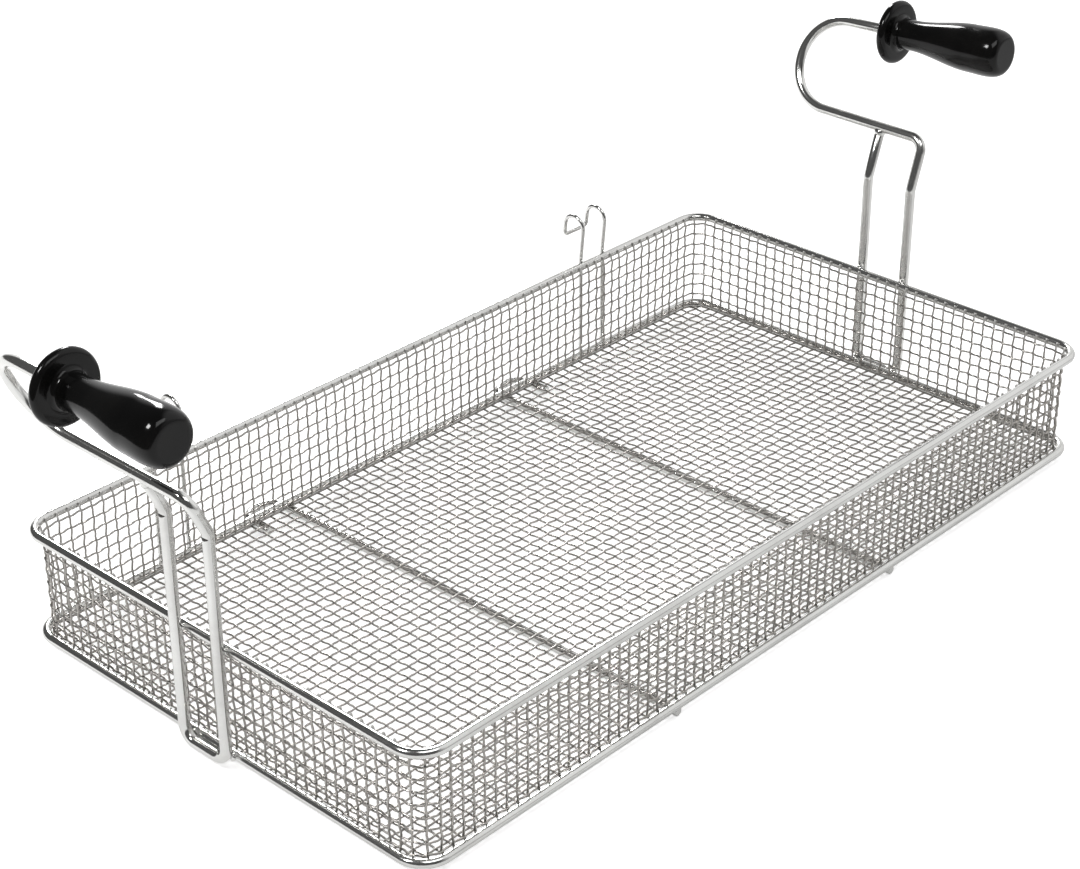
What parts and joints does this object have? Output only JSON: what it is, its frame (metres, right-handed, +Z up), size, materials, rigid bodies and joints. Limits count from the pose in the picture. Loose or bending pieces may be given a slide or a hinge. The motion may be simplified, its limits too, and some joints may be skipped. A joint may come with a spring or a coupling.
{
  "type": "deep fryer basket",
  "caption": "Long shallow fryer basket of woven wire mesh between rim rods, with a cranked rod handle and turned grip at each short end and hanging hooks at the rear.",
  "frame": {"origin": "middle of the basket on the plane that its floor supports rest on", "axes": "+X along the long side, +Y towards the wall with the hooks, +Z up"},
  "size_m": [0.6395, 0.306, 0.2261],
  "materials": {
    "rod_steel": "bright drawn steel rod",
    "mesh_wire": "satin steel wire",
    "grip_plastic": "glossy black moulding",
    "insert_brass": "turned brass"
  },
  "bodies": {
    "root": {"top_rim": "rod_steel", "bottom_rim": "rod_steel", "wall_mesh": "mesh_wire", "floor_mesh": "mesh_wire", "left_floor_support": "rod_steel", "right_floor_support": "rod_steel", "left_handle_rod": "rod_steel", "right_handle_rod": "rod_steel", "left_grip": "grip_plastic", "right_grip": "grip_plastic", "left_grip_insert": "insert_brass", "right_grip_insert": "insert_brass", "left_hook": "rod_steel", "right_hook": "rod_steel"}
  },
  "joints": []
}
